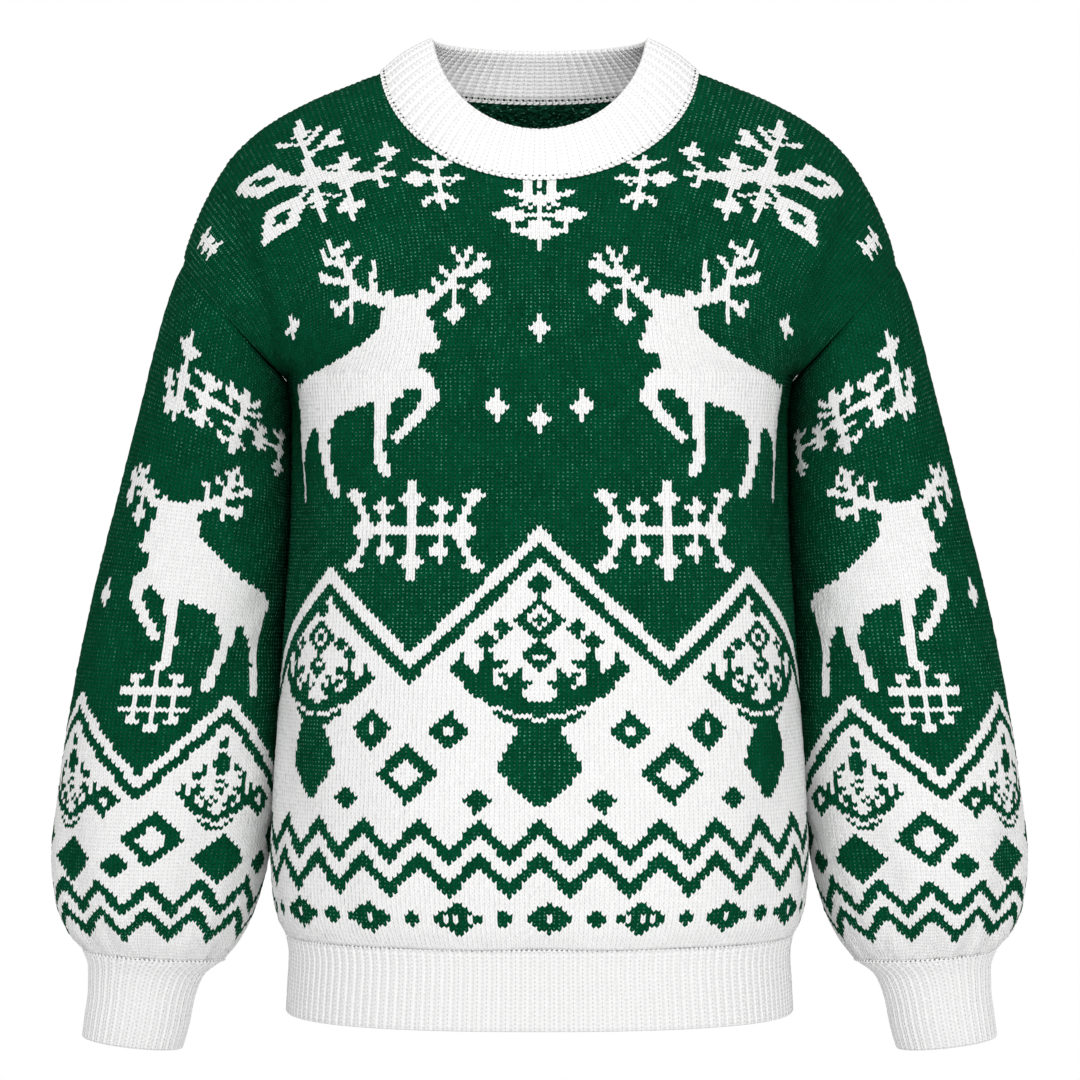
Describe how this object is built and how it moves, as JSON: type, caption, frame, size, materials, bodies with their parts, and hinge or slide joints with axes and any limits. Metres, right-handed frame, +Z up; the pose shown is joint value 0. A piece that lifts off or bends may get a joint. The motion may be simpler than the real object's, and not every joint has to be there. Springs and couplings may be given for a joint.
{
  "type": "christmas sweater",
  "caption": "Crew-neck christmas sweater with drop shoulders, full sleeves and rib bands, filled out as if worn, hollow, held at the neck.",
  "frame": {"origin": "the middle of the neck opening, level with the points where the shoulder seams meet the neckband", "axes": "+X to the wearer's left, which is the right side seen from the front; +Y from the front to the back; +Z up"},
  "size_m": [0.682, 0.2609, 0.6993],
  "materials": {
    "jersey": "two-colour knit in green and white, matt",
    "rib": "white ribbed knit, matt"
  },
  "bodies": {
    "root": {"front": "jersey", "back": "jersey", "sleeve_left": "jersey", "sleeve_right": "jersey", "collar": "rib", "hem_rib_front": "rib", "hem_rib_back": "rib", "cuff_left": "rib", "cuff_right": "rib"}
  },
  "joints": []
}
